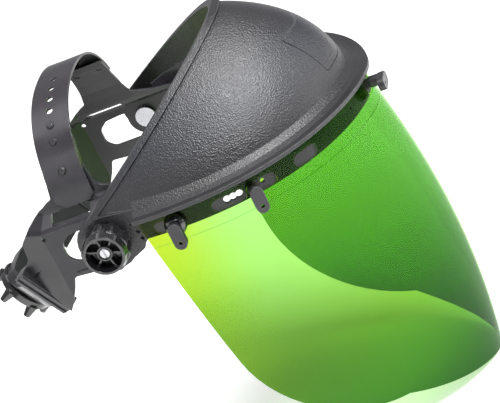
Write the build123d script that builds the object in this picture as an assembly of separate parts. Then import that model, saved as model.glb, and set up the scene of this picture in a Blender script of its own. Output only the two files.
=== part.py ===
from build123d import *
import math
import os

# Face shield: a green visor window held by turn buttons on the skirt of a
# moulded crown, which tilts on two friction pivots on a ratchet headgear.
# Millimetres.  Origin: symmetry plane, brim plane, where the brim's side
# legs end and its front curve begins.  +Z is up as worn, -Y is where the
# wearer looks, -X is the wearer's right.  Paired pieces are built on the
# right and mirrored.

# ------------------------------------------------------------- dimensions
# Crown plan and brim
BRIM_HALF = 110.0                    # half width
BRIM_DEPTH = 139.5                   # front edge, forward of the origin
BRIM_SHAPE = (-0.072, 0.777, 0.269)  # Bezier handles, see plan_wire
BRIM_REAR_Y = 6.6                    # rear end of the legs
BRIM_T = 2.4
SKIRT_H = 16.5                       # below the brim plane
SKIRT_T = 2.2
SKIRT_LEVELS = [-5.5, -11, -SKIRT_H]

# Dome: base size, height, and the two exponents of its superelliptic profile
DOME_HALF_PROFILE = (97.407, 81.249, 1.361, 1.443)
DOME_DEPTH_PROFILE = (126.487, 80.317, 1.994, 2.249)
DOME_SHAPE = (-0.104, 0.780, 0.254)
DOME_REAR = 62.0                     # straight legs behind the origin
DOME_LEVELS = [0, 6, 13, 20, 28, 36, 44, 52, 59, 65]
DOME_TOP, DOME_INNER_TOP = 70, 69
CROWN_T = 2.4
RIM_Z0, RIM_SLOPE = 28.8, -0.649     # rear rim plane: z = RIM_Z0 + RIM_SLOPE * y
BEAD_OUT, BEAD_W = 1.3, 3.4
COVE = [(105.0, 134.5, 1.0), (100.6, 130.2, 2.7), (94.2, 124.6, 7.8)]  # half, depth, z

# Window
INSET = 8.0                          # outer face, inside the brim edge
WINDOW_T = 1.0
SKIRT_INSET = INSET + WINDOW_T + 0.45  # leaves a gap behind the window
WINDOW_REAR_H = 151.4                # depth at the rear edge
WINDOW_FRONT_H = 215.2               # depth at the front
WINDOW_CORNER_R = 72.8
WINDOW_TOP_Y, WINDOW_BOTTOM_Y = 6.6, -12.1   # slanted rear edge
WINDOW_LEVEL_PART = 0.05             # fraction of the depth with a level bottom edge
WINDOW_RISE_POWER = 0.606
WINDOW_LEVELS = [-20, -45, -75, -105, -135, -165, -195]
# linear and square terms of the plan's change per 200 mm of drop
HALF_CHANGE = (-0.006, -0.278)
DEPTH_CHANGE = (0.146, -0.155)
SHIFT_CHANGE = (-35.96, 20.25)

# Window slots: y, length, height; no y means the front centre
SLOT_Z = -12.0
WINDOW_SLOTS = [(-11.6, 20.5, 8.6), (-50.4, 22.4, 8.6), (-71.0, 20.0, 8.6),
                (-98.5, 18.8, 8.0), (None, 20.0, 8.6)]

# Turn buttons: y, lever's inner face, neck radius, stud's inner end, retainer
# shift; distances outward from the window's outer face
BUTTON_Z = -11.8
BUTTONS = {
    "rear": (-16.0, 5.2, 3.0, -6.4, 0.0),
    "mid": (-65.5, 4.2, 3.7, -6.4, -0.6),
    "front": (None, 7.4, 3.7, -8.4, -1.9),
}
LEVER_L, LEVER_W, LEVER_T = 17.5, 8.0, 4.2
STUD_R, STUD_HOLE_R = 2.9, 3.1

# Spare holes in the skirt: y, z, radius
SKIRT_HOLES = [(-49.4, -10.8, 2.3), (-53.2, -10.8, 2.3), (-57.0, -10.8, 2.3),
               (-71.6, -10.4, 1.4), (-125.0, -10.4, 1.1)]

# Ears and tilt pivots
PIVOT_Y, PIVOT_Z = 29.5, -11.2       # tilt axis, along X
EAR_OUT, EAR_T, EAR_R = 96.5, 2.8, 19.0
EAR_DIMPLES = [(11.4, -5.6), (9.6, -11.0), (8.6, -16.0)]   # y, z
KNOB_R, KNOB_LOBES = 15.0, 9
KNOB_X = -EAR_OUT - 1.8              # knob's inner face
BOLT_R = 3.0
RUN_GAP = 0.05                       # running clearance on radius
WASHER_R, WASHER_T = 10.6, 2.0
WASHER_X = -EAR_OUT + EAR_T + 0.12   # washer's outer face
BOSS_X = WASHER_X + WASHER_T + 0.1   # outer end of the plate's standoff boss

# Side plates
PLATE_X, PLATE_T = 78.65, 2.2        # mid surface, thickness
PLATE_OUT = PLATE_X + PLATE_T / 2
FOLD_Y, FOLD_DEG = 72.5, 30.0
# section of the outer face: height, inward lean
PLATE_SECTION = [(-62, 0), (0.0, 0), (2.2, 2.2), (7.2, 11.0), (9.0, 11.95), (15, 12.35),
                 (22, 13.15), (29, 14.9), (36, 18.0), (42, 22.1), (48, 28.0)]
# outlines: y, z, corner radius
PLATE_OUTLINE = [
    (16, -30.5, 3), (24, -34, 3), (55, -34.5, 3), (66, -33.5, 3), (69.5, -41, 3),
    (75, -50, 2), (80.5, -57.0, 0.5), (89, -44.5, 0), (101.5, -27.5, 1), (92.5, -17, 2),
    (91, -6, 3), (83, 2, 2), (73, 9, 3), (65.5, 13.2, 2), (61, 15, 3), (59.5, 24, 5),
    (58, 45.5, 3), (33, 45.5, 3), (33, 30, 4), (31, 20, 5), (28.5, 13.2, 8),
    (14, 9.5, 4), (-8, 6.5, 2.5), (-8, -11, 3), (6, -14, 6), (12, -22, 4)]
PLATE_OPENING = [(35.0, -24.5, 3), (58.5, -24.5, 6), (63.5, -20.0, 6), (63.5, -10.5, 6),
                 (57, -5.5, 6), (44, -4.6, 5), (35.0, -8.0, 3)]
PLATE_SLOT = [(38, 1.8, 1.4), (64.5, 1.8, 1.4), (64.5, 7.0, 1.4), (38, 7.0, 1.4)]

# Overhead strap: superelliptic arch
STRAP_A, STRAP_B, STRAP_Z, STRAP_POWER = 70.0, 55.5, 10.0, 2.3
STRAP_T, STRAP_Y0, STRAP_Y1 = 1.6, 33.0, 58.0
STRAP_HOLES = [(-6.0, 65.4), (-17.5, 64.5), (-28.5, 62.4), (-38.6, 58.9)]   # x, z
STRAP_PEGS = [(-48.4, 53.4), (-57.0, 46.4), (-66.4, 30.0)]                  # x, z
PEG_R = 2.22
STRAP_RIVET_XZ, STRAP_RIVET_DY = (62.6, 41.5), (8.0, -8.0)
RIVET_R, RIVET_HOLE_R = 2.0, 2.02

# Brow band: half ellipse, tilted up to the front
BROW_A, BROW_B, BROW_T, BROW_W, BROW_TILT = 77.2, 85.0, 1.6, 24.0, 18.0
BROW_Y, BROW_Z = 10.0, -1.0
BROW_SLOT_DEG = (-52, -33, -11, 11, 33, 52)
BROW_RIVETS = [(-2.6, -3.4), (7.0, -4.6)]   # y, z
SWEAT_GAP, SWEAT_IN, SWEAT_HALF_W = 0.35, 4.6, 14.0   # faces are measured from the band

# Nape band and ratchet; angles run from the rear axis to the wearer's right
NAPE_R = 73.4                        # inner radius of the outer strap
NAPE_T = 1.4
NAPE_TILT = 30.0                     # falls to the rear
NAPE_Y, NAPE_Z = 59.6, -23.3         # arc centre
GUIDE_DEG = 59.0
PINION_R, RACK_MODULE, PINION_TEETH = 5.0, 1.0, 10
CAVITY_R0, CAVITY_R1 = NAPE_R - NAPE_T - 1.0, NAPE_R + NAPE_T + 0.6
HOUSING_R0, HOUSING_R1 = NAPE_R - 3.6, NAPE_R + 4.6
HOUSING_W, HOUSING_H, HOUSING_CORNER = 46, 33, 9
RATCHET_KNOB_R0 = HOUSING_R1 + 0.15  # knob's inner end
PINION_R0 = CAVITY_R0 + 0.1          # pinion's inner end
STEM_R = 3.8


# ---------------------------------------------------------------- helpers
def box(x0, x1, y0, y1, z0, z1):
    return Pos((x0 + x1) / 2, (y0 + y1) / 2, (z0 + z1) / 2) * Box(x1 - x0, y1 - y0, z1 - z0)


def x_cylinder(radius, x0, x1, y, z):
    return Pos((x0 + x1) / 2, y, z) * Rot(0, 90, 0) * Cylinder(radius, abs(x1 - x0))


def z_cylinder(radius, z0, z1):
    return Pos(0, 0, (z0 + z1) / 2) * Cylinder(radius, z1 - z0)


def pivot_cylinder(radius, x0, x1):
    return x_cylinder(radius, x0, x1, PIVOT_Y, PIVOT_Z)


def mirror_x(shape):
    return shape.mirror(Plane.YZ)


def cut_pair(body, cutter):
    """cut on the wearer's right, then on the left"""
    return body - cutter - mirror_x(cutter)


def largest(shape):
    return max(shape.solids(), key=lambda solid: solid.volume)


def polygon(points):
    return Wire.make_polygon([Vector(*point) for point in points], close=True)


def join(*curves):
    return Wire([curve.edge() for curve in curves])


def prism(wire, dx, dy, dz):
    return Solid.extrude(Face(wire), Vector(dx, dy, dz))


def prism_yz(points, x0, x1):
    """prism along X from a YZ outline"""
    return prism(polygon([(x0, y, z) for y, z in points]), x1 - x0, 0, 0)


def arc_points(centre, radius, start, step, count):
    """points on an arc, angles in degrees"""
    angles = [math.radians(start + k * step) for k in range(count)]
    return [(centre[0] + radius * math.cos(w), centre[1] + radius * math.sin(w))
            for w in angles]


def round_outline(corners, steps=5):
    """outline from (y, z, radius) corners, each arc cut into chords"""
    out = []
    for i, (y, z, radius) in enumerate(corners):
        before, after = corners[i - 1], corners[(i + 1) % len(corners)]
        ay, az = before[0] - y, before[1] - z
        by, bz = after[0] - y, after[1] - z
        len_a, len_b = math.hypot(ay, az), math.hypot(by, bz)
        ay, az, by, bz = ay / len_a, az / len_a, by / len_b, bz / len_b
        half = math.acos(max(-1.0, min(1.0, ay * by + az * bz))) / 2
        if radius <= 0.01 or half > math.pi / 2 - 0.02:     # sharp or nearly straight
            out.append((y, z))
            continue
        reach = min(radius / math.tan(half), 0.48 * len_a, 0.48 * len_b)
        fit = reach * math.tan(half)
        my, mz = ay + by, az + bz
        to_centre = fit / math.sin(half) / math.hypot(my, mz)
        cy, cz = y + my * to_centre, z + mz * to_centre
        start = math.atan2(z + az * reach - cz, y + ay * reach - cy)
        end = math.atan2(z + bz * reach - cz, y + by * reach - cy)
        sweep = (end - start + math.pi) % (2 * math.pi) - math.pi
        out += arc_points((cy, cz), fit, math.degrees(start), math.degrees(sweep / steps),
                          steps + 1)
    return out


def save(name, *shapes):
    """write all solids of the shapes to one STEP file"""
    found = [solid for shape in shapes for solid in shape.solids()]
    piece = found[0] if len(found) == 1 else Compound(children=found)
    piece.label = name
    export_step(piece, f"parts/{name}.step")


def save_pair(name, shape):
    save(f"{name}_right", shape)
    save(f"{name}_left", mirror_x(shape))


# -------------------------------------------------- plan curve and window surface
def plan_wire(half, depth, shape, rear, z, shift=0.0):
    """closed U in plan: two legs, two Bezier quarters, a rear closing line

    shape is the inward lean and the forward reach of the leg's handle and the
    sideways reach of the front handle, as fractions of half and depth.
    """
    lean, reach, front = shape
    rear_half = half * (1 + lean / reach * rear / depth)
    nose = (0, shift - depth, z)

    def side(sign):
        return ((sign * rear_half, shift + rear, z), (sign * half, shift, z),
                (sign * half * (1 - lean), shift - depth * reach, z),
                (sign * half * front, shift - depth, z))

    end_r, root_r, leg_r, front_r = side(-1)
    end_l, root_l, leg_l, front_l = side(1)
    return join(Line(end_r, root_r), Bezier(root_r, leg_r, front_r, nose),
                Bezier(nose, front_l, leg_l, root_l), Line(root_l, end_l), Line(end_l, end_r))


def plan_prism(half, depth, shape, rear, z0, z1):
    return prism(plan_wire(half, depth, shape, rear, z0), 0, 0, z1 - z0)


def plan_point(half, depth, y):
    """point and outward normal on the right side of the brim's plan curve"""
    lean, reach, front = BRIM_SHAPE
    low, high = 0.0, 1.0
    for _ in range(60):
        t = (low + high) / 2
        u = 1 - t
        curve_y = -depth * (3 * u * u * t * reach + 3 * u * t * t + t ** 3)
        if curve_y > y:
            low = t
        else:
            high = t
    x = -half * (u ** 3 + 3 * u * u * t * (1 - lean) + 3 * u * t * t * front)
    first, second = u * u - 2 * t * u, 2 * t * u - t * t
    dx = -half * (-3 * u * u + 3 * (1 - lean) * first + 3 * front * second)
    dy = -depth * (3 * reach * first + 3 * second + 3 * t * t)
    length = math.hypot(dx, dy)
    return x, curve_y, dy / length, -dx / length


def window_plan(inset, z):
    """half width, depth and shift in y of the window's plan at height z"""
    drop = max(-z, 0) / 200.0

    def change(terms):
        return terms[0] * drop + terms[1] * drop * drop

    return ((BRIM_HALF - inset) * (1 + change(HALF_CHANGE)),
            (BRIM_DEPTH - inset) * (1 + change(DEPTH_CHANGE)), change(SHIFT_CHANGE))


def window_wire(inset, z, rear):
    half, depth, shift = window_plan(inset, z)
    return plan_wire(half, depth, BRIM_SHAPE, rear, z, shift)


def on_window(y, z, inset, shape):
    """place a shape on the window surface, local +Z outward and +Y up"""
    half, depth, shift = window_plan(inset, z)
    if y is None:
        x, point_y, nx, ny = 0.0, -depth, 0.0, -1.0
    else:
        x, point_y, nx, ny = plan_point(half, depth, y - shift)
    frame = Plane(origin=(x, point_y + shift, z), x_dir=(-ny, nx, 0), z_dir=(nx, ny, 0))
    return frame.location * shape


# ------------------------------------------------------------------ crown
def dome_size(z, inset):
    """half width and depth of the dome at height z"""
    return [base * (1 - (z / (height - inset)) ** p) ** (1 / q) - inset
            for base, height, p, q in (DOME_HALF_PROFILE, DOME_DEPTH_PROFILE)]


def dome_solid(inset, top):
    return Solid.make_loft([plan_wire(*dome_size(z, inset), DOME_SHAPE, DOME_REAR, z)
                            for z in DOME_LEVELS + [top]])


def skirt_solid(inset, rear_y, levels):
    return Solid.make_loft([window_wire(inset, z, rear_y - window_plan(inset, z)[2])
                            for z in levels], ruled=True)


def make_ear():
    """flat plate around the right pivot, with a web to the skirt's end"""
    outline = [(4.6, 3.0), (4.6, -SKIRT_H), (8.0, -19.8)]
    outline += arc_points((PIVOT_Y, PIVOT_Z), EAR_R, -112, 13.5, 12)
    outline += [(41.5, RIM_Z0 + RIM_SLOPE * 41.5 - 0.2), (30.0, 6.0)]
    web = box(-EAR_OUT - 3.3, -EAR_OUT + 1.5, 3.4, BRIM_REAR_Y, -SKIRT_H, 1.0)
    return prism_yz(outline, -EAR_OUT, -EAR_OUT + EAR_T) + web


def make_crown():
    outer = dome_solid(0.0, DOME_TOP)
    inner = dome_solid(CROWN_T, DOME_INNER_TOP)
    inner = inner + plan_prism(*dome_size(0, CROWN_T), DOME_SHAPE, DOME_REAR, -1, 0)
    rim = Pos(0, 0, RIM_Z0) * Rot(math.degrees(math.atan(RIM_SLOPE)), 0, 0)
    behind = rim * Pos(0, 0, 100) * Box(400, 400, 200)
    band = rim * Pos(0, 0, -BEAD_W / 2) * Box(400, 400, BEAD_W)
    bead = dome_solid(-BEAD_OUT, DOME_TOP) & band
    dome = (outer + (bead & box(-120, 120, -140, 60, 2, 90))) - inner

    flange = plan_prism(BRIM_HALF, BRIM_DEPTH, BRIM_SHAPE, BRIM_REAR_Y, -BRIM_T / 2, BRIM_T / 2)
    flange = flange - plan_prism(95.6, 124.6, DOME_SHAPE, 30, -5, 5)
    cove = Solid.make_loft([plan_wire(half, depth, BRIM_SHAPE, BRIM_REAR_Y, z)
                            for half, depth, z in COVE], ruled=True) - inner
    # the cutter overruns the skirt at top, bottom and rear
    skirt = skirt_solid(SKIRT_INSET, BRIM_REAR_Y, [0.4] + SKIRT_LEVELS)
    skirt = skirt - skirt_solid(SKIRT_INSET + SKIRT_T, 30,
                                [1.0] + SKIRT_LEVELS[:-1] + [-SKIRT_H - 1])
    ear = make_ear()
    crown = dome - behind + flange + cove + skirt + ear + mirror_x(ear)

    crown = cut_pair(crown, pivot_cylinder(BOLT_R + 1.2, -EAR_OUT - 2, -EAR_OUT + 5))
    for name in ("rear", "mid"):
        hole = Pos(0, 0, -3.5) * Cylinder(STUD_HOLE_R, 9)
        crown = cut_pair(crown, on_window(BUTTONS[name][0], BUTTON_Z, INSET, hole))
    front_hole = Pos(0, 0, -4.5) * Cylinder(STUD_HOLE_R, 10)
    crown = crown - on_window(None, BUTTON_Z, INSET, front_hole)
    for y, z, radius in SKIRT_HOLES:
        hole = Pos(0, 0, -2) * Cylinder(radius, 8)
        crown = cut_pair(crown, on_window(y, z, SKIRT_INSET, hole))
    # blind dimples in the ear's outer face, ahead of the knob
    for y, z in EAR_DIMPLES:
        crown = cut_pair(crown, x_cylinder(1.3, -EAR_OUT - 1, -EAR_OUT + 1.4, y, z))
    return crown


# ----------------------------------------------------------------- window
def bottom_at(y):
    """height of the bottom edge at y, solved with the plan at that height"""
    z = -WINDOW_REAR_H
    for _ in range(30):
        _, depth, shift = window_plan(INSET, z)
        along = ((shift - y) / depth - WINDOW_LEVEL_PART) / (1 - WINDOW_LEVEL_PART)
        rise = min(max(along, 0), 1) ** WINDOW_RISE_POWER
        z = -(WINDOW_REAR_H + (WINDOW_FRONT_H - WINDOW_REAR_H) * rise)
    return z


def window_outline():
    """side view of the window in Y and Z"""
    outline = [(-175.0, -1.6), (-2.0, -1.6)]
    outline += arc_points((0.6, -7.0), 5.4, 90, -18, 6)     # small top rear corner
    # large bottom rear corner, sheared to follow the slanted rear edge
    centre_y = WINDOW_BOTTOM_Y - WINDOW_CORNER_R
    centre_z = bottom_at(centre_y) + WINDOW_CORNER_R
    slant = WINDOW_TOP_Y - WINDOW_BOTTOM_Y
    outline += [(y + slant * (1 + z / WINDOW_REAR_H), z) for y, z in
                arc_points((centre_y, centre_z), WINDOW_CORNER_R, 0, -90 / 14, 15)]
    # the step from the corner to the bottom curve fades out over 40 mm
    corner_y, corner_z = outline[-1]
    step = corner_z - bottom_at(corner_y)
    y = corner_y - 3.0
    while y > -158:
        fade = max(0.0, 1 - (corner_y - y) / 40.0) ** 2
        outline.append((y, bottom_at(y) + step * fade))
        y -= 5.0
    return outline + [(-162.0, -WINDOW_FRONT_H), (-175.0, -WINDOW_FRONT_H)]


def make_window():
    outer = Solid.make_loft([window_wire(INSET, z, 26)
                             for z in [0.2] + WINDOW_LEVELS + [-222]])
    inner = Solid.make_loft([window_wire(INSET + WINDOW_T, z, 34)
                             for z in [0.5] + WINDOW_LEVELS + [-223]])
    window = (outer - inner) & prism_yz(window_outline(), -130, 130)
    for y, length, height in WINDOW_SLOTS:
        cutter = on_window(y, SLOT_Z, INSET, extrude(SlotOverall(length, height), 6, both=True))
        window = window - cutter if y is None else cut_pair(window, cutter)
    return window


# ----------------------------------------------------------- turn buttons
def make_button(lever_z, neck_r, tail_z):
    """oblong finger lever hanging from a stud; local +Z is outward"""
    slot = Rot(0, 0, 90) * SlotOverall(LEVER_L, LEVER_W)
    lever = Pos(0, -(LEVER_L - LEVER_W) / 2, lever_z) * extrude(slot, LEVER_T)
    eye = Pos(0, -(LEVER_L - 8.4), lever_z + LEVER_T / 2) * Cylinder(1.3, LEVER_T + 2)
    return lever - eye + z_cylinder(neck_r, 0.9, lever_z) + z_cylinder(STUD_R, tail_z, 1.2)


def make_button_cap():
    """domed cap between the window and the lever, notched for the lever"""
    cap = Pos(0, 0, 0.6) * Sphere(7.2) & Pos(0, 0, 5.4) * Box(30, 30, 9.6)
    bore = Pos(0, 0, 5) * Cylinder(BUTTONS["rear"][2] + 0.02, 12)
    return cap - bore - Pos(0, -6.25, 10.1) * Box(8.4, 21.0, 10.0)


def make_retainer():
    """push-nut behind the skirt, with a shallow slot in its outer face"""
    ring = Cylinder(5.2, 1.2) - Cylinder(STUD_R + 0.02, 2)
    return Pos(0, 0, -4.55) * ring - Pos(0, 0, -4.0) * Box(0.8, 8.4, 0.3)


def save_buttons():
    for name, (y, lever_z, neck_r, tail_z, shift) in BUTTONS.items():
        button = make_button(lever_z, neck_r, tail_z)
        retainer = on_window(y, BUTTON_Z, INSET, Pos(0, 0, shift) * make_retainer())
        if name == "front":
            # this lever lies across, pointing to the wearer's right
            save("turn_button_front", on_window(y, BUTTON_Z, INSET, Rot(0, 0, -90) * button))
            save("button_retainer_front", retainer)
            continue
        save_pair(f"turn_button_{name}", on_window(y, BUTTON_Z, INSET, button))
        save_pair(f"button_retainer_{name}", retainer)
    cap = on_window(BUTTONS["rear"][0], BUTTON_Z, INSET, make_button_cap())
    save_pair("button_cap_rear", cap)


# ----------------------------------------------------------------- pivots
def make_pivot_knob():
    """cupped knob with finger lobes, six ribs and a central hub"""
    outline = []
    count = KNOB_LOBES * 12
    for k in range(count):
        w = 2 * math.pi * k / count
        wave = math.cos(KNOB_LOBES * w)
        radius = KNOB_R - 0.55 + 0.55 * wave - 0.85 * max(0.0, -wave) ** 2
        outline.append((radius * math.cos(w), radius * math.sin(w), 0))
    body = prism(polygon(outline), 0, 0, 11.0)
    knob = body & (Pos(0, 0, 1.0) * Cone(13.4, 15.2, 2.0) + z_cylinder(15.2, 2.0, 11.0))
    knob = knob + Pos(0, 0, 13.5) * Cone(14.0, 12.6, 5.0)
    knob = knob - Pos(0, 0, 12.0) * Cone(9.6, 11.4, 12.0)
    ribs = None
    for k in range(6):
        rib = Rot(0, 0, k * 60 + 12) * (Pos(7.4, 0, 8.0) * Box(6.4, 1.2, 6.5))
        ribs = rib if ribs is None else ribs + rib
    knob = knob + z_cylinder(4.8, 0, 13.0) + ribs
    knob = knob - Cylinder(BOLT_R + RUN_GAP, 60) - Pos(0, 0, 12.4) * Cylinder(3.9, 2.0)
    return Pos(KNOB_X, PIVOT_Y, PIVOT_Z) * Rot(0, -90, 0) * knob


def make_pivot_bolt():
    """flat head inside the plate, plain shank, slotted end in the knob's hub"""
    head_x = -(PLATE_X - PLATE_T / 2)
    end_x = KNOB_X - 12.6
    slot = box(end_x - 1, end_x + 1, PIVOT_Y - 0.5, PIVOT_Y + 0.5, PIVOT_Z - 4, PIVOT_Z + 4)
    return (pivot_cylinder(7.0, head_x + 0.05, head_x + 3.0)
            + pivot_cylinder(BOLT_R, head_x + 0.1, end_x) - slot)


def make_washer(radius, x0, x1):
    return pivot_cylinder(radius, x0, x1) - pivot_cylinder(BOLT_R + RUN_GAP, x0 - 1, x1 + 1)


# -------------------------------------------------------- overhead strap
def strap_radius(cos_w, sin_w, a, b):
    return (abs(cos_w / a) ** STRAP_POWER + abs(sin_w / b) ** STRAP_POWER) ** (-1 / STRAP_POWER)


def arch(offset, overrun, z0):
    """solid under the strap's outer face moved out by offset, from z0 up"""
    y0, y1 = STRAP_Y0 - overrun, STRAP_Y1 + overrun
    points = []
    for k in range(61):
        cos_w, sin_w = math.cos(math.pi * k / 60), math.sin(math.pi * k / 60)
        radius = strap_radius(cos_w, sin_w, STRAP_A + offset, STRAP_B + offset)
        points.append((radius * cos_w, y0, STRAP_Z + radius * sin_w))
    start, end = points[0], points[-1]
    foot_start, foot_end = (start[0], y0, z0), (end[0], y0, z0)
    return prism(join(Spline(*points), Line(end, foot_end), Line(foot_end, foot_start),
                      Line(foot_start, start)), 0, y1 - y0, 0)


def on_strap(x, z):
    """location on the strap's outer face towards x, z; local +Z outward, +X rearward"""
    w = math.atan2(z - STRAP_Z, x)
    radius = strap_radius(math.cos(w), math.sin(w), STRAP_A, STRAP_B)
    face_x, face_z = radius * math.cos(w), radius * math.sin(w)
    power = STRAP_POWER - 1
    nx = math.copysign(abs(face_x / STRAP_A) ** power / STRAP_A, face_x)
    nz = math.copysign(abs(face_z / STRAP_B) ** power / STRAP_B, face_z)
    length = math.hypot(nx, nz)
    return Plane(origin=(face_x, (STRAP_Y0 + STRAP_Y1) / 2, STRAP_Z + face_z),
                 x_dir=(0, 1, 0), z_dir=(nx / length, 0, nz / length)).location


STRAP_RIVETS = [on_strap(*STRAP_RIVET_XZ) * Pos(dy, 0, 0) for dy in STRAP_RIVET_DY]


def make_overhead_strap():
    strap = arch(0, 0, 0.0) - arch(-STRAP_T, 1, -1.0)
    # right end with clipped corners; left end cut off at z = 33
    clip = [(STRAP_Y0, 100), (STRAP_Y0, 11.5), (STRAP_Y0 + 4, 7.6),
            (STRAP_Y1 - 5, 7.6), (STRAP_Y1, 12.5), (STRAP_Y1, 100)]
    strap = strap & prism_yz(clip, -90, 66)
    strap = strap - box(20, 90, 20, 70, -5, 33.0)
    for x, z in STRAP_HOLES + STRAP_PEGS:
        strap = strap - on_strap(x, z) * Cylinder(2.3, 8)
    for place in STRAP_RIVETS:
        strap = strap - place * Cylinder(RIVET_HOLE_R, 12)
    return strap


def make_strap_pegs():
    peg = Pos(0, 0, -1.2) * Cylinder(PEG_R, 3.6) + Pos(0, 0, 0.9) * Cone(2.6, 1.7, 1.0)
    return [on_strap(x, z) * peg for x, z in STRAP_PEGS]


def make_strap_rivets():
    rivet = Pos(0, 0, -1.8) * Cylinder(RIVET_R, 5.0) + Pos(0, 0, 0.6) * Cylinder(3.4, 1.0)
    return [place * rivet for place in STRAP_RIVETS]


# ---------------------------------------------------- brow band, sweatband
brow_tilt = math.radians(BROW_TILT)
BROW_FRAME = Plane(origin=(0, BROW_Y, BROW_Z), x_dir=(1, 0, 0),
                   z_dir=(0, math.sin(brow_tilt), math.cos(brow_tilt))).location


def brow_arc(offset, half_width, leg):
    """half-ellipse prism in the brow frame, offset from the band's outer face

    Local -Y is forward; leg is the straight part behind the ellipse.
    """
    a, b = BROW_A + offset, BROW_B + offset
    points = []
    for k in range(41):
        w = math.pi + math.pi * k / 40
        points.append((a * math.cos(w), b * math.sin(w), -half_width))
    right, left = (-a, leg, -half_width), (a, leg, -half_width)
    return prism(join(Spline(*points, tangents=((0, -1, 0), (0, 1, 0))), Line(points[-1], left),
                      Line(left, right), Line(right, points[0])), 0, 0, 2 * half_width)


def brow_rivet_hole(y, z):
    return x_cylinder(RIVET_HOLE_R, -90, -60, y, z)


def make_brow_band():
    band = brow_arc(0, BROW_W / 2, 3.0) - brow_arc(-BROW_T, BROW_W / 2 + 1, 6.0)
    for angle in BROW_SLOT_DEG:
        w = math.radians(270 + angle)
        place = Pos(BROW_A * math.cos(w), BROW_B * math.sin(w), 0) * Rot(0, 0, angle)
        band = band - place * Rot(90, 0, 0) * extrude(SlotOverall(17, 6.5), 8, both=True)
    band = BROW_FRAME * band
    for y, z in BROW_RIVETS:
        band = cut_pair(band, brow_rivet_hole(y, z))
    return band


def make_sweatband():
    pad = (brow_arc(-BROW_T - SWEAT_GAP, SWEAT_HALF_W, 1.0)
           - brow_arc(-BROW_T - SWEAT_IN, SWEAT_HALF_W + 1, 8.0))
    return BROW_FRAME * (pad & box(-200, 200, -120, -26.0, -20, 20))


def make_brow_rivets():
    rivets = []
    for y, z in BROW_RIVETS:
        rivet = (x_cylinder(RIVET_R, -PLATE_OUT - 0.2, -74.4, y, z)
                 + x_cylinder(3.6, -PLATE_OUT - 1.2, -PLATE_OUT - 0.02, y, z))
        rivets += [rivet, mirror_x(rivet)]
    return rivets


# ----------------------------------------------------- nape straps, guides
nape_tilt = math.radians(NAPE_TILT)
# local +X to the wearer's left, +Y rearward and down, +Z up the band
NAPE_FRAME = Plane(origin=(0, NAPE_Y, NAPE_Z), x_dir=(1, 0, 0),
                   z_dir=(0, math.sin(nape_tilt), math.cos(nape_tilt))).location


def sector(r0, r1, angle0, angle1, z0, z1):
    """ring sector about the nape arc's axis"""
    def point(radius, angle):
        w = math.radians(angle)
        return (-radius * math.sin(w), radius * math.cos(w), z0)

    middle = (angle0 + angle1) / 2
    outer = ThreePointArc(point(r1, angle0), point(r1, middle), point(r1, angle1))
    inner = ThreePointArc(point(r0, angle1), point(r0, middle), point(r0, angle0))
    return prism(join(outer, Line(point(r1, angle1), point(r0, angle1)), inner,
                      Line(point(r0, angle0), point(r1, angle0))), 0, 0, z1 - z0)


def make_rack(radius, side):
    """rack teeth on the upper (side 1) or lower (-1) edge, pointing to the middle"""
    pitch_deg = math.degrees(math.pi * RACK_MODULE / (radius + 0.7))
    tip, root = side * (PINION_R - 0.75), side * (PINION_R + 1.9)
    outline = polygon([(x, radius, z) for x, z in
                       ((-0.40, tip), (0.40, tip), (0.98, root), (-0.98, root))])
    rack = None
    for k in range(-5, 6):
        tooth = Rot(0, 0, k * pitch_deg) * prism(outline, 0, NAPE_T, 0)
        rack = tooth if rack is None else rack + tooth
    return rack


def make_nape_strap(radius, side):
    """half strap: broad at its guide, a slotted tongue at the ratchet"""
    outer = radius + NAPE_T
    strap = sector(radius, outer, 30, 67, -11.5, 11.5) + sector(radius, outer, -23, 40, -8.6, 8.6)
    low, high = sorted((-side * 6.6, side * (PINION_R + 1.4)))
    strap = strap - sector(radius - 1, outer + 1, -19.5, 19.5, low, high)
    return strap + make_rack(radius, side)


def make_strap_guide():
    """block on the side plate's end that the nape strap slides through"""
    r0 = NAPE_R - 3.2
    guide = sector(r0, r0 + 8.4, GUIDE_DEG - 4.2, GUIDE_DEG + 3.6, -18.5, 19.5)
    for start, end in ((-3.8, -1.6), (0.9, 3.2)):           # two outer ridges
        ridge = sector(r0 + 8.0, r0 + 9.6, GUIDE_DEG + start, GUIDE_DEG + end, -17.5, 18.5)
        guide = guide + ridge
    guide = guide - sector(CAVITY_R0 + 0.1, CAVITY_R1 - 0.1, GUIDE_DEG - 8, GUIDE_DEG + 8,
                           -12.2, 12.2)
    return NAPE_FRAME * guide


# ------------------------------------------------------------ side plates
def plate_sheet(y0, y1):
    """right sheet of constant section along Y"""
    outer = [(-(PLATE_OUT - lean), z) for z, lean in PLATE_SECTION]
    inner = []
    for i, (x, z) in enumerate(outer):
        before, after = outer[max(i - 1, 0)], outer[min(i + 1, len(outer) - 1)]
        dx, dz = after[0] - before[0], after[1] - before[1]
        length = math.hypot(dx, dz)
        inner.append((x + dz / length * PLATE_T, z - dx / length * PLATE_T))
    return prism(polygon([(x, y0, z) for x, z in outer + inner[::-1]]), 0, y1 - y0, 0)


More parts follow.
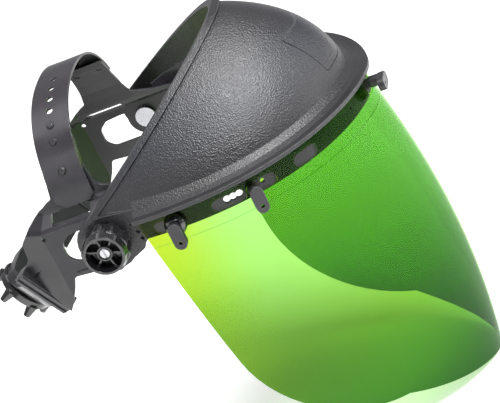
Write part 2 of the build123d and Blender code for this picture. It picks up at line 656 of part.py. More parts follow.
def make_plain_plate():
    """right plate before the cuts for the pieces it carries"""
    # the sheet folds inward behind FOLD_Y: two prisms meet on a mitre plane
    fold = Pos(-PLATE_X, FOLD_Y, 0)
    rear_sheet = (fold * Rot(0, 0, -FOLD_DEG) * Pos(PLATE_X, -FOLD_Y, 0)
                  * plate_sheet(FOLD_Y - 12, FOLD_Y + 50))
    rear_half = fold * Rot(0, 0, -FOLD_DEG / 2) * Pos(0, 150, 0) * Box(300, 300, 300)
    shell = (plate_sheet(-14, FOLD_Y + 12) - rear_half) + (rear_sheet & rear_half)
    plate = shell & prism_yz(round_outline(PLATE_OUTLINE), -95, -25)
    plate = plate - prism_yz(round_outline(PLATE_OPENING), -95, -70)
    plate = plate - prism_yz(round_outline(PLATE_SLOT), -95, -50)
    plate = plate - x_cylinder(1.5, -95, -60, 72.5, -3.2)
    # hollow standoff boss that carries the pivot outward to the crown's ear
    boss = pivot_cylinder(WASHER_R, BOSS_X, -PLATE_X + 0.3)
    plate = plate + boss + pivot_cylinder(13.0, -PLATE_X - 0.6, -PLATE_X + PLATE_T / 2)
    plate = plate - pivot_cylinder(BOLT_R + 0.02, BOSS_X - 2, -70)
    # rib on the outer face under the opening, round pad on the neck
    rib = box(-PLATE_X - 2.2, -PLATE_X, 40, 63, -32.5, -31.0)
    return plate + rib + x_cylinder(2.8, -67.6, -65.6, 51, 17.0)


def fit_plate(plate, to_side):
    """cut one plate for the brow band and the guide; to_side moves right-hand cutters"""
    for y, z in BROW_RIVETS:
        plate = plate - to_side(brow_rivet_hole(y, z))
    half_width = BROW_W / 2
    plate = largest(plate - BROW_FRAME * (brow_arc(0.15, half_width + 0.2, 3.3)
                                          - brow_arc(-BROW_T - 0.15, half_width + 1, 6.0)))
    guide_room = NAPE_FRAME * (sector(52, 96, 20, GUIDE_DEG + 3.62, -45, 45)
                               + sector(CAVITY_R0, CAVITY_R1, 60, 73, -12.4, 12.4))
    return largest(plate - to_side(guide_room))


def make_side_plates():
    right = make_plain_plate()
    left = mirror_x(right)
    for x, z in STRAP_PEGS:
        right = right - on_strap(x, z) * Pos(0, 0, -3) * Cylinder(PEG_R, 8)
    # the right plate stands just clear of the strap it carries
    right = right - (arch(0.6, 0.2, 7.0) - arch(-STRAP_T - 0.05, 1, 6.0))
    for place in STRAP_RIVETS:
        left = left - place * Pos(0, 0, -3) * Cylinder(RIVET_HOLE_R, 12)
    return fit_plate(right, lambda cutter: cutter), fit_plate(left, mirror_x)


# ---------------------------------------------------------------- ratchet
def rearward(shape, radius):
    """turn local +Z to the rear axis, starting at the radius"""
    return Pos(0, radius, 0) * Rot(-90, 0, 0) * shape


def rear_bore(radius):
    return Pos(0, 80, 0) * Rot(90, 0, 0) * Cylinder(radius, 60)


def housing_block(r0, r1):
    """rounded block across the rear axis, its faces following the arc"""
    outline = RectangleRounded(HOUSING_W, HOUSING_H, HOUSING_CORNER)
    block = Pos(0, 200, 0) * (Rot(90, 0, 0) * extrude(outline, 200))
    return (sector(r0, r1, -40, 40, -30, 30) & block).solids()[0]


def make_housing():
    """outer shell: strap channel, bore, and seat for the detent ring"""
    shell = housing_block(CAVITY_R0, HOUSING_R1)
    shell = shell - sector(CAVITY_R0 - 1, CAVITY_R1, -40, 40, -9.4, 9.4)
    shell = shell - rear_bore(6.2)
    return shell - Pos(0, HOUSING_R1, 0) * Rot(90, 0, 0) * Cylinder(11.0, 3.0)


def make_backplate():
    """shell against the head"""
    return housing_block(HOUSING_R0 - 0.6, CAVITY_R0) - rear_bore(1.55)


def make_pinion():
    # one tooth: radius, angle in radians
    tooth = ((3.95, -0.27), (4.35, -0.16), (5.0, -0.125), (5.65, -0.058),
             (5.65, 0.058), (5.0, 0.125), (4.35, 0.16), (3.95, 0.27))
    points = []
    for k in range(PINION_TEETH):
        centre = 2 * math.pi * k / PINION_TEETH
        points += [(r * math.cos(centre + w), r * math.sin(centre + w), 0) for r, w in tooth]
    # unit height, stretched to fill the cavity with a gap at each end
    gear = scale(prism(polygon(points), 0, 0, 1.0), (1, 1, CAVITY_R1 - CAVITY_R0 - 0.2))
    stem = z_cylinder(STEM_R, 0, HOUSING_R1 + 1.0 - PINION_R0)
    return rearward(gear, PINION_R0) + rearward(stem, PINION_R0) - rear_bore(1.5)


def make_detent_ring():
    """washer with notches around its bore, seated in the housing under the knob"""
    ring = Cylinder(10.9, 1.2) - Cylinder(7.6, 3)
    for k in range(18):
        ring = ring - Rot(0, 0, k * 20) * Pos(7.6, 0, 0) * Cylinder(0.55, 3)
    return rearward(Pos(0, 0, 0.6) * ring, HOUSING_R1 - 1.45)


def make_ratchet_knob():
    """hollow-backed disc with six finger pegs and a raised centre"""
    knob = Pos(0, 0, 4.0) * Cylinder(19.0, 6.4)
    knob = chamfer(knob.edges().filter_by(GeomType.CIRCLE), 1.0)
    knob = knob - Pos(0, 0, 1.2) * Cylinder(16.6, 2.2)
    for k in range(6):
        angle = 30 + 60 * k
        w = math.radians(angle)
        place = Pos(15.6 * math.cos(w), 15.6 * math.sin(w), 0) * Rot(0, 0, angle)
        knob = knob + place * Rot(0, 12, 0) * Pos(0, 0, 10.0) * Cone(4.0, 2.2, 8.5)
    knob = knob + Pos(0, 0, 8.6) * Cone(9.0, 7.0, 3.0)
    # screw hole, recess for the screw head, socket for the pinion stem
    knob = knob - Cylinder(1.5, 60) - Pos(0, 0, 10.4) * Cylinder(3.3, 4.0)
    knob = knob - Cylinder(STEM_R + 0.02, 4.4)
    return rearward(knob, RATCHET_KNOB_R0)


def make_ratchet_screw():
    """cross-slotted head and plain shank along the rear axis"""
    slot_z = RATCHET_KNOB_R0 + 10.0
    screw = Pos(0, 0, RATCHET_KNOB_R0 + 9.3) * Cylinder(3.1, 1.6)
    screw = screw + z_cylinder(1.45, HOUSING_R0 + 0.4, RATCHET_KNOB_R0 + 8.6)
    screw = screw - Pos(0, 0, slot_z) * Box(4.6, 0.9, 0.9) - Pos(0, 0, slot_z) * Box(0.9, 4.6, 0.9)
    return rearward(screw, 0)


# ----------------------------------------------------------------- export
os.makedirs("parts", exist_ok=True)

save("crown", make_crown())
save("window", make_window())
save_buttons()

save_pair("pivot_knob", make_pivot_knob())
save_pair("pivot_bolt", make_pivot_bolt())
save_pair("friction_washer", make_washer(WASHER_R, WASHER_X, WASHER_X + WASHER_T))
save_pair("spring_washer", make_washer(8.0, -EAR_OUT - 1.6, -EAR_OUT - 0.1))

plate_right, plate_left = make_side_plates()
save("side_plate_right", plate_right)
save("side_plate_left", plate_left)
save("overhead_strap", make_overhead_strap())
save("strap_pegs", *make_strap_pegs())
save("strap_rivets", *make_strap_rivets())
save("brow_band", make_brow_band())
save("sweatband", make_sweatband())
save("brow_rivets", *make_brow_rivets())

left_strap = mirror_x(make_nape_strap(NAPE_R - NAPE_T - 0.4, -1))
save("nape_strap_right", NAPE_FRAME * make_nape_strap(NAPE_R, 1))
save("nape_strap_left", NAPE_FRAME * left_strap)
save_pair("strap_guide", make_strap_guide())
save("ratchet_housing", NAPE_FRAME * make_housing())
save("ratchet_backplate", NAPE_FRAME * make_backplate())
save("ratchet_pinion", NAPE_FRAME * make_pinion())
save("detent_ring", NAPE_FRAME * make_detent_ring())
save("ratchet_knob", NAPE_FRAME * make_ratchet_knob())
save("ratchet_screw", NAPE_FRAME * make_ratchet_screw())
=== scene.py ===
"""Face shield: a black crown and a green window on a strapped headgear with a knit sweatband.

Front is -y, up is +z and x runs across the head. Scene units are metres.
"""
import bpy
import bmesh
import math
from mathutils import Vector, Matrix, noise


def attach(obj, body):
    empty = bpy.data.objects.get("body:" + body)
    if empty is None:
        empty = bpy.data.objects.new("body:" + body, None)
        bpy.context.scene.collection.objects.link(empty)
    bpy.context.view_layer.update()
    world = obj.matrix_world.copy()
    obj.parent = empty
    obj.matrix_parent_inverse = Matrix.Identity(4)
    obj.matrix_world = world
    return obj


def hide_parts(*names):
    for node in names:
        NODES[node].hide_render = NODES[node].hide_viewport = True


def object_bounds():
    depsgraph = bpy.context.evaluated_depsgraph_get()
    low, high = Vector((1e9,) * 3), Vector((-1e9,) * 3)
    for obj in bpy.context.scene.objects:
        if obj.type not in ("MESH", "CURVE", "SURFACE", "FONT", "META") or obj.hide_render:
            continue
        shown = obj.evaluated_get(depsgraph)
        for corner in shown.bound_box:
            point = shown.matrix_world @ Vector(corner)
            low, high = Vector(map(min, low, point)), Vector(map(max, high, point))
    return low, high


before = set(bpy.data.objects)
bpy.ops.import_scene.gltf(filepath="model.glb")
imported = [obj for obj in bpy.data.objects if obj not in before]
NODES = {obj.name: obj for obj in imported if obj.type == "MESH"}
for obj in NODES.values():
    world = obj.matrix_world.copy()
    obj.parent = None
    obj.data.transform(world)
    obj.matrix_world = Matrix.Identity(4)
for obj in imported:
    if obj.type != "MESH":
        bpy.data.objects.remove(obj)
cad_box = [list(map(float, corner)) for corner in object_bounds()]


# ---------------------------------------------------------- material builder
class Shader:
    """Builds one material. Methods take sockets or plain values and return a socket."""

    def __init__(self, name):
        self.material = bpy.data.materials.new(name)
        self.material.use_nodes = True
        self.tree = self.material.node_tree
        self.tree.nodes.clear()
        self.output = self.node("OutputMaterial")
        self.position = self.node("TexCoord").outputs["Object"]

    def node(self, kind, inputs=None, **settings):
        made = self.tree.nodes.new("ShaderNode" + kind)
        for key, value in settings.items():
            setattr(made, key, value)
        for key, value in (inputs or {}).items():
            socket = made.inputs[key]
            if isinstance(value, bpy.types.NodeSocket):
                self.tree.links.new(value, socket)
            elif socket.type == "RGBA":
                socket.default_value = (*value, 1.0)
            else:
                socket.default_value = value
        return made

    def noise(self, scale, detail=3.0, roughness=0.55, vector=None):
        inputs = {"Scale": scale, "Detail": detail, "Roughness": roughness,
                  "Vector": vector or self.position}
        return self.node("TexNoise", inputs).outputs["Fac"]

    def cells(self, scale):
        inputs = {"Scale": scale, "Vector": self.position}
        return self.node("TexVoronoi", inputs, feature="F1").outputs["Distance"]

    def split(self, vector):
        return self.node("SeparateXYZ", {0: vector}).outputs

    def calc(self, operation, *values):
        return self.node("Math", dict(enumerate(values)), operation=operation).outputs[0]

    def add(self, first, second):
        return self.calc("ADD", first, second)

    def mul(self, first, *others):
        for other in others:
            first = self.calc("MULTIPLY", first, other)
        return first

    def weighted(self, first, second, weights):
        return self.add(self.mul(first, weights[0]), self.mul(second, weights[1]))

    def distance_to(self, coordinate, place):
        return self.calc("ABSOLUTE", self.add(coordinate, 0.0 - place))

    def remap(self, value, start, end, low=0.0, high=1.0, smooth=True):
        """Takes start..end to low..high, clamped."""
        inputs = dict(enumerate((value, start, end, low, high)))
        style = "SMOOTHSTEP" if smooth else "LINEAR"
        return self.node("MapRange", inputs, interpolation_type=style).outputs[0]

    def spread(self, value, low, high, margin=0.3):
        """Stretches the middle of a noise over low..high."""
        return self.remap(value, margin, 1.0 - margin, low, high)

    def ramp(self, value, stops):
        """Colour ramp; stops are (position, colour)."""
        made = self.node("ValToRGB", {0: value})
        elements = made.color_ramp.elements
        while len(elements) < len(stops):
            elements.new(0.5)
        for element, (position, color) in zip(elements, stops):
            element.position = position
            element.color = (*color, 1.0)
        return made.outputs[0]

    def mix(self, mask, base, over, amount=None):
        if amount is not None:
            mask = self.mul(mask, amount)
        return self.node("Mix", {0: mask, 6: base, 7: over}, data_type="RGBA").outputs[2]

    def mix_shader(self, mask, base, over):
        return self.node("MixShader", {0: mask, 1: base, 2: over}).outputs[0]

    def bump(self, height, strength, distance, normal=None):
        inputs = {"Strength": strength, "Distance": distance, "Height": height}
        if normal is not None:
            inputs["Normal"] = normal
        return self.node("Bump", inputs).outputs[0]

    def rounded(self, radius):
        return self.node("Bevel", {"Radius": radius}, samples=4).outputs[0]

    def edge_mask(self, radius):
        """1 at edges, where the rounded normal leaves the face normal."""
        face_normal = self.node("NewGeometry").outputs["Normal"]
        agreement = self.node("VectorMath", {0: self.rounded(radius), 1: face_normal},
                              operation="DOT_PRODUCT").outputs["Value"]
        return self.remap(agreement, start=0.995, end=0.82)

    def principled(self, **inputs):
        """Input names are written with underscores for spaces."""
        named = {key.replace("_", " "): value for key, value in inputs.items()}
        return self.node("BsdfPrincipled", named).outputs[0]

    def finish(self, surface):
        self.tree.links.new(surface, self.output.inputs["Surface"])
        return self.material


# ----------------------------------------------------------------- materials
def plastic(name, dark, light, roughness, grain_scale, grain_strength, grain_depth,
            edge_radius, edge_highlight_color, edge_highlight_amount, coat=0.0, specular=0.5):
    """Moulded plastic: tone drift, pebble grain and a painted highlight along the edges, which
    are also rougher.
    """
    mat = Shader(name)
    tone = mat.weighted(mat.noise(scale=22.0, detail=4.0),
                        mat.noise(scale=grain_scale * 0.5, detail=2.0), weights=(0.7, 0.3))
    # painted highlight: edges are mixed towards a light grey, broken up by noise patches
    patches = mat.remap(mat.noise(scale=260.0), start=0.30, end=0.70, low=0.35, high=1.0)
    edge_highlight = mat.mul(mat.edge_mask(edge_radius * 1.1), edge_highlight_amount, patches)
    color = mat.mix(edge_highlight, mat.ramp(tone, [(0.25, dark), (0.75, light)]), edge_highlight_color)

    normal = mat.bump(mat.cells(grain_scale), grain_strength, grain_depth,
                      mat.rounded(edge_radius))
    normal = mat.bump(mat.noise(scale=140.0), strength=0.10, distance=0.0002, normal=normal)

    gloss_drift = mat.remap(mat.noise(scale=70.0, detail=5.0), start=0.3, end=0.7,
                            low=roughness - 0.05, high=roughness + 0.06)
    extra_rough_on_edges = 0.12
    return mat.finish(mat.principled(
        Base_Color=color, Roughness=mat.add(gloss_drift, mat.mul(edge_highlight, extra_rough_on_edges)),
        Normal=normal, Coat_Weight=coat, Coat_Roughness=0.12, Specular_IOR_Level=specular))


# blank label panel on the crown's front: centre and half sizes
PANEL_X, PANEL_Z = 0.0, 0.0285
PANEL_HALF_WIDTH, PANEL_HALF_HEIGHT = 0.023, 0.0145
PANEL_CORNER = 0.004                    # smoothing of the outline's corners


def crown_material():
    """Pebble-grained black moulding with a sunk blank label panel."""
    mat = Shader("crown_grained_black")
    x, y, z = mat.split(mat.position)
    tone = mat.weighted(mat.noise(scale=14.0, detail=4.0),
                        mat.noise(scale=1500.0, detail=2.0), weights=(0.55, 0.45))
    color = mat.ramp(tone, [(0.32, (0.004, 0.004, 0.005)), (0.70, (0.022, 0.021, 0.025))])
    # painted sheen: a blue-grey reflection in a low band
    sheen_band = mat.mul(mat.remap(z, start=0.010, end=0.030),
                       mat.remap(z, start=0.060, end=0.035))
    color = mat.mix(sheen_band, color, (0.022, 0.025, 0.038), amount=0.35)

    # pebbles of two sizes
    pebbles = mat.weighted(mat.cells(1150.0), mat.cells(620.0), weights=(0.6, 0.4))
    beyond_side = mat.calc("SUBTRACT", mat.distance_to(x, PANEL_X), PANEL_HALF_WIDTH)
    beyond_top = mat.calc("SUBTRACT", mat.distance_to(z, PANEL_Z), PANEL_HALF_HEIGHT)
    outline = mat.calc("SMOOTH_MAX", beyond_side, beyond_top, PANEL_CORNER)
    panel = mat.mul(mat.remap(outline, start=0.0008, end=-0.0006),
                    mat.remap(y, start=-0.055, end=-0.060))
    sunk = mat.mul(panel, -1.0)
    normal = mat.bump(pebbles, strength=0.9, distance=0.00042, normal=mat.rounded(0.0009))
    normal = mat.bump(sunk, strength=1.0, distance=0.0007, normal=normal)
    normal = mat.bump(mat.noise(scale=60.0, detail=2.0), strength=0.03, distance=0.0006,
                      normal=normal)

    # painted highlight: crown edges are mixed towards light grey, broken up by noise patches
    patches = mat.spread(mat.noise(scale=210.0), low=0.4, high=1.0, margin=0.25)
    edge_highlight = mat.mul(mat.edge_mask(radius=0.0010), patches)
    color = mat.mix(edge_highlight, color, (0.15, 0.155, 0.17), amount=0.55)
    roughness = mat.remap(mat.noise(scale=45.0, detail=5.0), start=0.3, end=0.7,
                          low=0.37, high=0.45)
    return mat.finish(mat.principled(
        Base_Color=color, Roughness=roughness, Normal=normal, Specular_IOR_Level=0.55,
        Coat_Weight=0.12, Coat_Roughness=0.34))


WINDOW_TOP_Z, WINDOW_LOW_Z = -0.005, -0.205      # the tint deepens between these
CREASE_Z = -0.0235
TINT_REAR = [(0.0, (0.60, 0.71, 0.12)), (0.30, (0.45, 0.65, 0.12)), (1.0, (0.32, 0.55, 0.13))]
TINT_FRONT = [(0.0, (0.54, 0.77, 0.38)), (0.34, (0.47, 0.71, 0.28)), (0.56, (0.38, 0.61, 0.15)),
              (0.82, (0.28, 0.51, 0.14)), (1.0, (0.18, 0.40, 0.14))]
# reflection: cap on the Fresnel term, its power, its share, and the cut on back faces
FRESNEL_CAP, FRESNEL_POWER, FRESNEL_SHARE, BACK_CUT = 0.8, 1.25, 0.75, 1.0
# share of the painted glow on the cut edges
PAINTED_GLOW_SHARE = 0.85


def window_material():
    """Yellow-green clear sheet: painted glow on the cut edges, faint sheet marks and a crease.
    """
    mat = Shader("window_green_sheet")
    _, y, z = mat.split(mat.position)
    geometry = mat.node("NewGeometry").outputs
    facing = mat.split(mat.node(
        "VectorTransform", {0: geometry["True Normal"]}, vector_type="NORMAL",
        convert_from="WORLD", convert_to="OBJECT").outputs[0])

    tint_waver = mat.mul(mat.noise(scale=9.0, detail=2.0), 0.02)     # metres of height
    down = mat.remap(mat.add(z, tint_waver), WINDOW_TOP_Z, WINDOW_LOW_Z, smooth=False)
    forward = mat.remap(y, start=0.004, end=-0.055)
    tint = mat.mix(forward, mat.ramp(down, TINT_REAR), mat.ramp(down, TINT_FRONT))

    crease = mat.remap(mat.distance_to(z, CREASE_Z), start=0.0002, end=0.0007,
                       low=1.0, high=0.0)
    normal = mat.bump(mat.noise(scale=26.0, detail=2.0), strength=0.05, distance=0.0012)
    normal = mat.bump(crease, strength=0.35, distance=0.0004, normal=normal)

    tint = mat.mix(crease, tint, (0.30, 0.55, 0.25), amount=0.25)
    clear = mat.node("BsdfTransparent", {0: tint}).outputs[0]
    polish = mat.spread(mat.noise(scale=30.0, detail=4.0), low=0.05, high=0.11)
    glossy = mat.node("BsdfGlossy", {"Color": (0.95, 1.0, 0.93), "Roughness": polish,
                                     "Normal": normal}).outputs[0]
    # only front faces reflect
    fresnel = mat.node("Fresnel", {"IOR": 1.45, "Normal": normal}).outputs[0]
    fresnel = mat.calc("POWER", mat.calc("MINIMUM", fresnel, FRESNEL_CAP), FRESNEL_POWER)
    front_face = mat.calc("SUBTRACT", 1.0, mat.mul(geometry["Backfacing"], BACK_CUT))
    sheet = mat.mix_shader(mat.mul(fresnel, FRESNEL_SHARE, front_face), clear, glossy)

    # a little haze gives the sheet its own colour
    haze_color = mat.mix(forward, (0.42, 0.62, 0.02), (0.10, 0.36, 0.06))
    haze = mat.node("BsdfTranslucent", {0: haze_color}).outputs[0]
    haze_share = mat.spread(mat.noise(scale=18.0), low=0.015, high=0.035)
    sheet = mat.mix_shader(haze_share, sheet, haze)

    # painted glow on the cut edges: emission on faces looking down, and faces looking back
    # behind the foremost part
    looks_down = mat.remap(facing[2], start=-0.45, end=-0.7)
    looks_back = mat.mul(mat.remap(facing[1], start=0.5, end=0.8),
                         mat.remap(y, start=-0.09, end=-0.07))
    cut_edge = mat.calc("MAXIMUM", looks_down, looks_back)
    painted_glow = mat.principled(Base_Color=(0.50, 0.78, 0.04), Roughness=0.25,
                          Emission_Color=(0.42, 0.70, 0.03), Emission_Strength=0.35)
    return mat.finish(mat.mix_shader(mat.mul(cut_edge, PAINTED_GLOW_SHARE), sheet, painted_glow))


def steel_material():
    """Plated steel with fine streaks squeezed along z."""
    mat = Shader("zinc_plated_steel")
    squeezed = mat.node("Mapping", {0: mat.position, "Scale": (1.0, 1.0, 9.0)}).outputs[0]
    streak = mat.noise(scale=700.0, vector=squeezed)
    tone = mat.weighted(streak, mat.noise(scale=60.0), weights=(0.5, 0.5))
    color = mat.ramp(tone, [(0.3, (0.36, 0.36, 0.38)), (0.7, (0.60, 0.60, 0.62))])
    return mat.finish(mat.principled(
        Base_Color=color, Metallic=1.0, Roughness=mat.spread(streak, low=0.22, high=0.42),
        Normal=mat.bump(streak, strength=0.3, distance=0.00005, normal=mat.rounded(0.0003))))


RIB_PITCH, COURSE_PITCH = 1.3, 0.95     # knit pitches round the band and across it, mm
RIB_WAVER = 1.2                         # radians
STITCH_SLANT = 2.2                      # radians; bends the courses into V stitches


def fabric_material():
    """Brushed knit: ribs crossed by V stitches, fuzz and flecks. UVs are in millimetres."""
    mat = Shader("sweatband_knit")
    u, v, _ = mat.split(mat.node("UVMap").outputs[0])
    centred = mat.calc("SUBTRACT", mat.noise(scale=300.0, detail=2.0), 0.5)
    waver = mat.mul(centred, RIB_WAVER)
    ribs = mat.calc("SINE", mat.add(mat.mul(u, 2 * math.pi / RIB_PITCH), waver))
    slant = mat.mul(mat.calc("ABSOLUTE", ribs), STITCH_SLANT)
    courses = mat.calc("SINE", mat.add(mat.mul(v, 2 * math.pi / COURSE_PITCH), slant))
    knit = mat.weighted(ribs, courses, weights=(0.35, 0.5))
    fuzz = mat.noise(scale=2600.0, detail=4.0, roughness=0.7)
    tone = mat.weighted(mat.remap(knit, start=-0.8, end=0.8), mat.noise(scale=520.0),
                        weights=(0.45, 0.55))
    color = mat.ramp(tone, [(0.22, (0.018, 0.018, 0.021)), (0.55, (0.050, 0.050, 0.056)),
                            (0.85, (0.105, 0.105, 0.115))])
    normal = mat.bump(knit, strength=0.7, distance=0.0004)
    normal = mat.bump(fuzz, strength=0.4, distance=0.0002, normal=normal)
    return mat.finish(mat.principled(
        Base_Color=color, Roughness=mat.spread(fuzz, low=0.82, high=0.98), Normal=normal,
        Sheen_Weight=0.5, Sheen_Roughness=0.45, Sheen_Tint=(0.55, 0.56, 0.60),
        Specular_IOR_Level=0.2))


def thread_material():
    mat = Shader("sweatband_thread")
    twist = mat.noise(scale=1800.0)
    color = mat.ramp(twist, [(0.3, (0.06, 0.06, 0.065)), (0.7, (0.16, 0.16, 0.17))])
    return mat.finish(mat.principled(
        Base_Color=color, Roughness=mat.spread(twist, low=0.6, high=0.85),
        Normal=mat.bump(twist, strength=0.5, distance=0.0002), Sheen_Weight=0.3))


def floor_material():
    mat = Shader("studio_floor")
    drift = mat.noise(scale=3.0)
    color = mat.ramp(drift, [(0.3, (0.93, 0.93, 0.93)), (0.7, (0.95, 0.95, 0.95))])
    return mat.finish(mat.principled(
        Base_Color=color, Roughness=mat.spread(drift, low=0.70, high=0.80),
        Normal=mat.bump(mat.noise(scale=400.0), strength=0.03, distance=0.0002),
        Emission_Color=(1.0, 1.0, 1.0), Emission_Strength=0.26))


CROWN = crown_material()
WINDOW = window_material()
# each plastic below also gives the colour and share of its painted edge highlight
HARNESS = plastic(
    "harness_satin", dark=(0.009, 0.008, 0.010), light=(0.024, 0.022, 0.027), roughness=0.36,
    grain_scale=3200.0, grain_strength=0.10, grain_depth=0.00003,
    edge_radius=0.0006, edge_highlight_color=(0.20, 0.20, 0.21), edge_highlight_amount=0.55)
STRAP = plastic(
    "strap_satin", dark=(0.014, 0.012, 0.015), light=(0.032, 0.030, 0.036), roughness=0.30,
    grain_scale=1700.0, grain_strength=0.16, grain_depth=0.00005,
    edge_radius=0.0005, edge_highlight_color=(0.22, 0.22, 0.23), edge_highlight_amount=0.6)
MOULDED = plastic(
    "moulded_satin", dark=(0.010, 0.010, 0.012), light=(0.028, 0.028, 0.031), roughness=0.40,
    grain_scale=2400.0, grain_strength=0.22, grain_depth=0.00005,
    edge_radius=0.0008, edge_highlight_color=(0.22, 0.22, 0.24), edge_highlight_amount=0.6)
GLOSS = plastic(
    "gloss_moulded", dark=(0.004, 0.004, 0.005), light=(0.011, 0.011, 0.013), roughness=0.13,
    grain_scale=4200.0, grain_strength=0.03, grain_depth=0.00002,
    edge_radius=0.0009, edge_highlight_color=(0.10, 0.10, 0.11), edge_highlight_amount=0.3,
    coat=0.7, specular=0.6)
NYLON = plastic(
    "nylon_washer", dark=(0.55, 0.54, 0.50), light=(0.68, 0.67, 0.63), roughness=0.45,
    grain_scale=1800.0, grain_strength=0.12, grain_depth=0.00004,
    edge_radius=0.0004, edge_highlight_color=(0.75, 0.74, 0.70), edge_highlight_amount=0.4)
STEEL = steel_material()
FABRIC = fabric_material()
THREAD = thread_material()

# pieces by full name, then by how the name starts; the first match wins
BY_NAME = {"crown": CROWN, "window": WINDOW}
BY_PREFIX = (
    (("pivot_knob", "button_cap", "ratchet_knob"), GLOSS),
    (("friction_washer",), NYLON),
    (("overhead_strap", "nape_strap", "brow_band"), STRAP),
    (("button_retainer", "pivot_bolt", "spring_washer", "detent_ring", "ratchet_screw"), STEEL),
    (("turn_button", "ratchet_", "strap_guide"), MOULDED),
)
SHARP_ANGLE = math.radians(32)


def material_for(name):
    if name in BY_NAME:
        return BY_NAME[name]
    for prefixes, material in BY_PREFIX:
        if name.startswith(prefixes):
            return material
    return HARNESS


def smooth(mesh):
    for polygon in mesh.polygons:
        polygon.use_smooth = True


for name, piece in NODES.items():
    piece.data.materials.clear()
    piece.data.materials.append(material_for(name))
    smooth(piece.data)
    piece.data.set_sharp_from_angle(angle=SHARP_ANGLE)


# ------------------------------------------------- sweatband, in millimetres
# brow frame: tilted about x, its origin moved along y and z
BROW_TILT = math.radians(18.0)
BROW_Y, BROW_Z = 10.0, -1.0
# the pad's outer face follows this ellipse round the front, between two ends at END_Y
BROW_HALF_X, BROW_HALF_Y = 75.1, 82.9
END_Y = -36.0
END_ANGLE = math.asin(END_Y / BROW_HALF_Y)
START_ANGLE, STOP_ANGLE = math.pi - END_ANGLE, 2 * math.pi + END_ANGLE
PAD_ARC = 235                           # nominal length along the band

PAD_STEPS, PAD_SIDES = 260, 40
PAD_HALF_HEIGHT, PAD_THICKNESS = 13.6, 4.4
END_DRAW = 6.0                          # length over which each end closes
CLOSED_SIZE = 0.03                      # share of the section left at the very end
HEIGHT_POWER, DEPTH_POWER = 0.42, 0.80  # squareness of the section

CHANNEL_HEIGHT = PAD_HALF_HEIGHT - 3.0  # sewn channels above and below the middle
CHANNEL_WIDTH, CHANNEL_DEPTH = 0.9, 1.15
PUCKER_HEIGHT = PAD_HALF_HEIGHT - 5.2
PUCKER_WIDTH, PUCKER_DEPTH, PUCKER_PITCH = 2.6, 0.22, 7.0
PUCKER_WANDER = 1.3 * 6                 # radians

STITCH_PITCH, STITCH_LENGTH, STITCH_RADIUS = 3, 2.1, 0.26
STITCH_END_GAP = 8
STITCH_DEPTH = PAD_THICKNESS - 1.25
STITCH_LIFT = 0.25
STITCH_STEPS, STITCH_SIDES = 4, 6


def from_brow(x, y, z):
    """Brow frame in millimetres to the scene in metres."""
    cos_tilt, sin_tilt = math.cos(BROW_TILT), math.sin(BROW_TILT)
    return Vector((x, BROW_Y + y * cos_tilt + z * sin_tilt,
                   BROW_Z - y * sin_tilt + z * cos_tilt)) / 1000.0


def band_point(arc, depth, height):
    """Scene point at an arc length; depth is along the outward normal."""
    angle = START_ANGLE + (STOP_ANGLE - START_ANGLE) * arc / PAD_ARC
    cos_angle, sin_angle = math.cos(angle), math.sin(angle)
    outward = Vector((cos_angle / BROW_HALF_X, sin_angle / BROW_HALF_Y, 0)).normalized()
    point = Vector((BROW_HALF_X * cos_angle, BROW_HALF_Y * sin_angle, 0)) + outward * depth
    return from_brow(point.x, point.y, height)


def signed_power(value, power):
    return math.copysign(abs(value) ** power, value)


def ridge(height, centre, width):
    """Bell curve round +centre and -centre."""
    return math.exp(-((abs(height) - centre) / width) ** 2)


def pad_section(arc, k):
    """Depth (negative towards the head) and height of section point k."""
    closing = min(min(arc, PAD_ARC - arc) / END_DRAW, 1.0)
    closing = max(math.sqrt(max(0.0, 1 - (1 - closing) ** 2)), CLOSED_SIZE)
    turn = 2 * math.pi * k / PAD_SIDES
    outer, upper = math.cos(turn), math.sin(turn)
    height = PAD_HALF_HEIGHT * signed_power(upper, HEIGHT_POWER) * (0.90 + 0.10 * closing)
    depth = -0.5 * PAD_THICKNESS * (1 - signed_power(outer, DEPTH_POWER))
    if outer < 0.25:
        # head side: channels, puckers beside them, and soft unevenness
        channel = ridge(height, CHANNEL_HEIGHT, CHANNEL_WIDTH)
        depth += CHANNEL_DEPTH * channel * min(1.0, -depth / 2.0)
        wander = PUCKER_WANDER * noise.noise(Vector((arc * 0.05, 0, 1)))
        pucker = math.sin(arc * 2 * math.pi / PUCKER_PITCH + wander)
        depth += PUCKER_DEPTH * pucker * ridge(height, PUCKER_HEIGHT, PUCKER_WIDTH)
        depth -= 0.28 * noise.noise(Vector((arc * 0.11, height * 0.15, 3.0)))
    height += 0.25 * noise.noise(Vector((arc * 0.08, k * 0.3, 7.0)))
    return min(depth * closing, 0.0), height


def bridge(bm, rings):
    """Quads between neighbouring rings."""
    for ring, following in zip(rings, rings[1:]):
        count = len(ring)
        for k in range(count):
            after = (k + 1) % count
            bm.faces.new((ring[k], ring[after], following[after], following[k]))


def add_object(name, bm, material):
    mesh = bpy.data.meshes.new(name)
    bm.to_mesh(mesh)
    bm.free()
    mesh.materials.append(material)
    made = bpy.data.objects.new(name, mesh)
    bpy.context.scene.collection.objects.link(made)
    return made


def add_soft_object(name, bm, material):
    bmesh.ops.recalc_face_normals(bm, faces=bm.faces)
    made = add_object(name, bm, material)
    smooth(made.data)
    return made


def sweatband_pad():
    """Padded knit band: flat against the brow band, crowned towards the head."""
    bm = bmesh.new()
    uv_layer = bm.loops.layers.uv.new("UVMap")
    uv_of = {}
    rings = []
    for i in range(PAD_STEPS + 1):
        arc = i / PAD_STEPS * PAD_ARC
        ring = []
        for k in range(PAD_SIDES):
            depth, height = pad_section(arc, k)
            vertex = bm.verts.new(band_point(arc, depth, height))
            uv_of[vertex] = (arc, height)
            ring.append(vertex)
        rings.append(ring)
    bridge(bm, rings)
    for face in bm.faces:
        for loop in face.loops:
            loop[uv_layer].uv = uv_of[loop.vert]
    bm.faces.new(rings[0])
    bm.faces.new(rings[-1][::-1])
    return add_soft_object("sweatband_pad", bm, FABRIC)


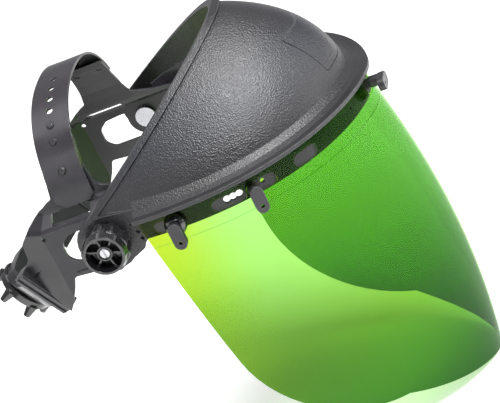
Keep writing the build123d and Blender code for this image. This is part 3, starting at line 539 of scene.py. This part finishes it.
def add_stitch(bm, start, height):
    """A short thread that rises in its middle and narrows at its ends."""
    points = []
    for j in range(STITCH_STEPS + 1):
        lift = math.sin(math.pi * j / STITCH_STEPS) * STITCH_LIFT
        arc = start + STITCH_LENGTH * j / STITCH_STEPS
        points.append(band_point(arc, -STITCH_DEPTH - lift, height))
    rings = []
    for j, point in enumerate(points):
        along = (points[min(j + 1, STITCH_STEPS)] - points[max(j - 1, 0)]).normalized()
        side = along.cross(Vector((0, 0, 1))).normalized()
        across = along.cross(side).normalized()
        radius = STITCH_RADIUS / 1000 * (1.0 if 0 < j < STITCH_STEPS else 0.5)
        ring = []
        for k in range(STITCH_SIDES):
            turn = 2 * math.pi * k / STITCH_SIDES
            ring.append(bm.verts.new(point + side * radius * math.cos(turn)
                                     + across * radius * math.sin(turn)))
        rings.append(ring)
    bm.faces.new(rings[0][::-1])
    bridge(bm, rings)
    bm.faces.new(rings[-1])


def sweatband_stitches():
    bm = bmesh.new()
    for height in (CHANNEL_HEIGHT, -CHANNEL_HEIGHT):
        for start in range(STITCH_END_GAP, PAD_ARC - STITCH_END_GAP, STITCH_PITCH):
            add_stitch(bm, start, height)
    return add_soft_object("sweatband_stitches", bm, THREAD)


pad = sweatband_pad()
stitches = sweatband_stitches()
for part in (pad, stitches):
    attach(part, "headgear")
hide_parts("sweatband")


# --------------------------------------------------------------------- stage
FLOOR_GAP = 0.0005                      # floor below the lowest point
# name, place, target, size, watts
LIGHTS = (
    ("key_soft", (-0.35, -0.75, 1.35), (0, -0.04, 0.0), (0.7, 0.7), 46.0),
    ("side_strip", (-1.25, 0.75, 0.55), (0, 0.0, 0.0), (0.25, 1.0), 4.0),
    ("front_fill", (0.35, -1.5, 0.35), (0, -0.05, -0.08), (0.7, 0.9), 9.0),
    ("top_wash", (0.1, 0.2, 1.6), (0, 0.0, 0.0), (1.2, 1.2), 10.0),
)
WORLD_STRENGTH = 0.36
CAMERA_PLACE = (-1.28302, -0.42256, 0.52073)
# rotation matrix; its columns are the camera's right, up and back
CAMERA_TURN = (
    (0.0916, 0.4705, -0.8777),
    (-0.9084, -0.3215, -0.2672),
    (-0.4079, 0.8218, 0.3979),
)


def add_floor():
    bm = bmesh.new()
    bmesh.ops.create_grid(bm, x_segments=8, y_segments=8, size=6.0)
    floor = add_object("studio_floor", bm, floor_material())
    floor.location = (0, 0, min(corner[2] for corner in cad_box) - FLOOR_GAP)


def add_world():
    world = bpy.data.worlds.new("studio")
    bpy.context.scene.world = world
    world.use_nodes = True
    background = world.node_tree.nodes["Background"]
    background.inputs["Color"].default_value = (1.0, 1.0, 1.0, 1)
    background.inputs["Strength"].default_value = WORLD_STRENGTH


def add_light(name, place, target, size, watts):
    light = bpy.data.lights.new(name, "AREA")
    light.shape = "RECTANGLE"
    light.size, light.size_y = size
    light.energy = watts
    holder = bpy.data.objects.new(name, light)
    holder.location = place
    aim = Vector(target) - Vector(place)
    holder.rotation_euler = aim.to_track_quat("-Z", "Y").to_euler()
    bpy.context.scene.collection.objects.link(holder)


def add_camera():
    camera = bpy.data.cameras.new("camera")
    camera.sensor_width = 36.0
    camera.sensor_fit = "HORIZONTAL"
    camera.lens = 165.07
    camera.clip_start, camera.clip_end = 0.05, 30.0
    holder = bpy.data.objects.new("camera", camera)
    turn = Matrix(CAMERA_TURN).to_quaternion().normalized()
    holder.matrix_world = Matrix.Translation(CAMERA_PLACE) @ turn.to_matrix().to_4x4()
    bpy.context.scene.collection.objects.link(holder)
    bpy.context.scene.camera = holder


add_floor()
add_world()
for light_row in LIGHTS:
    add_light(*light_row)
add_camera()
bpy.context.scene.view_settings.view_transform = "Standard"
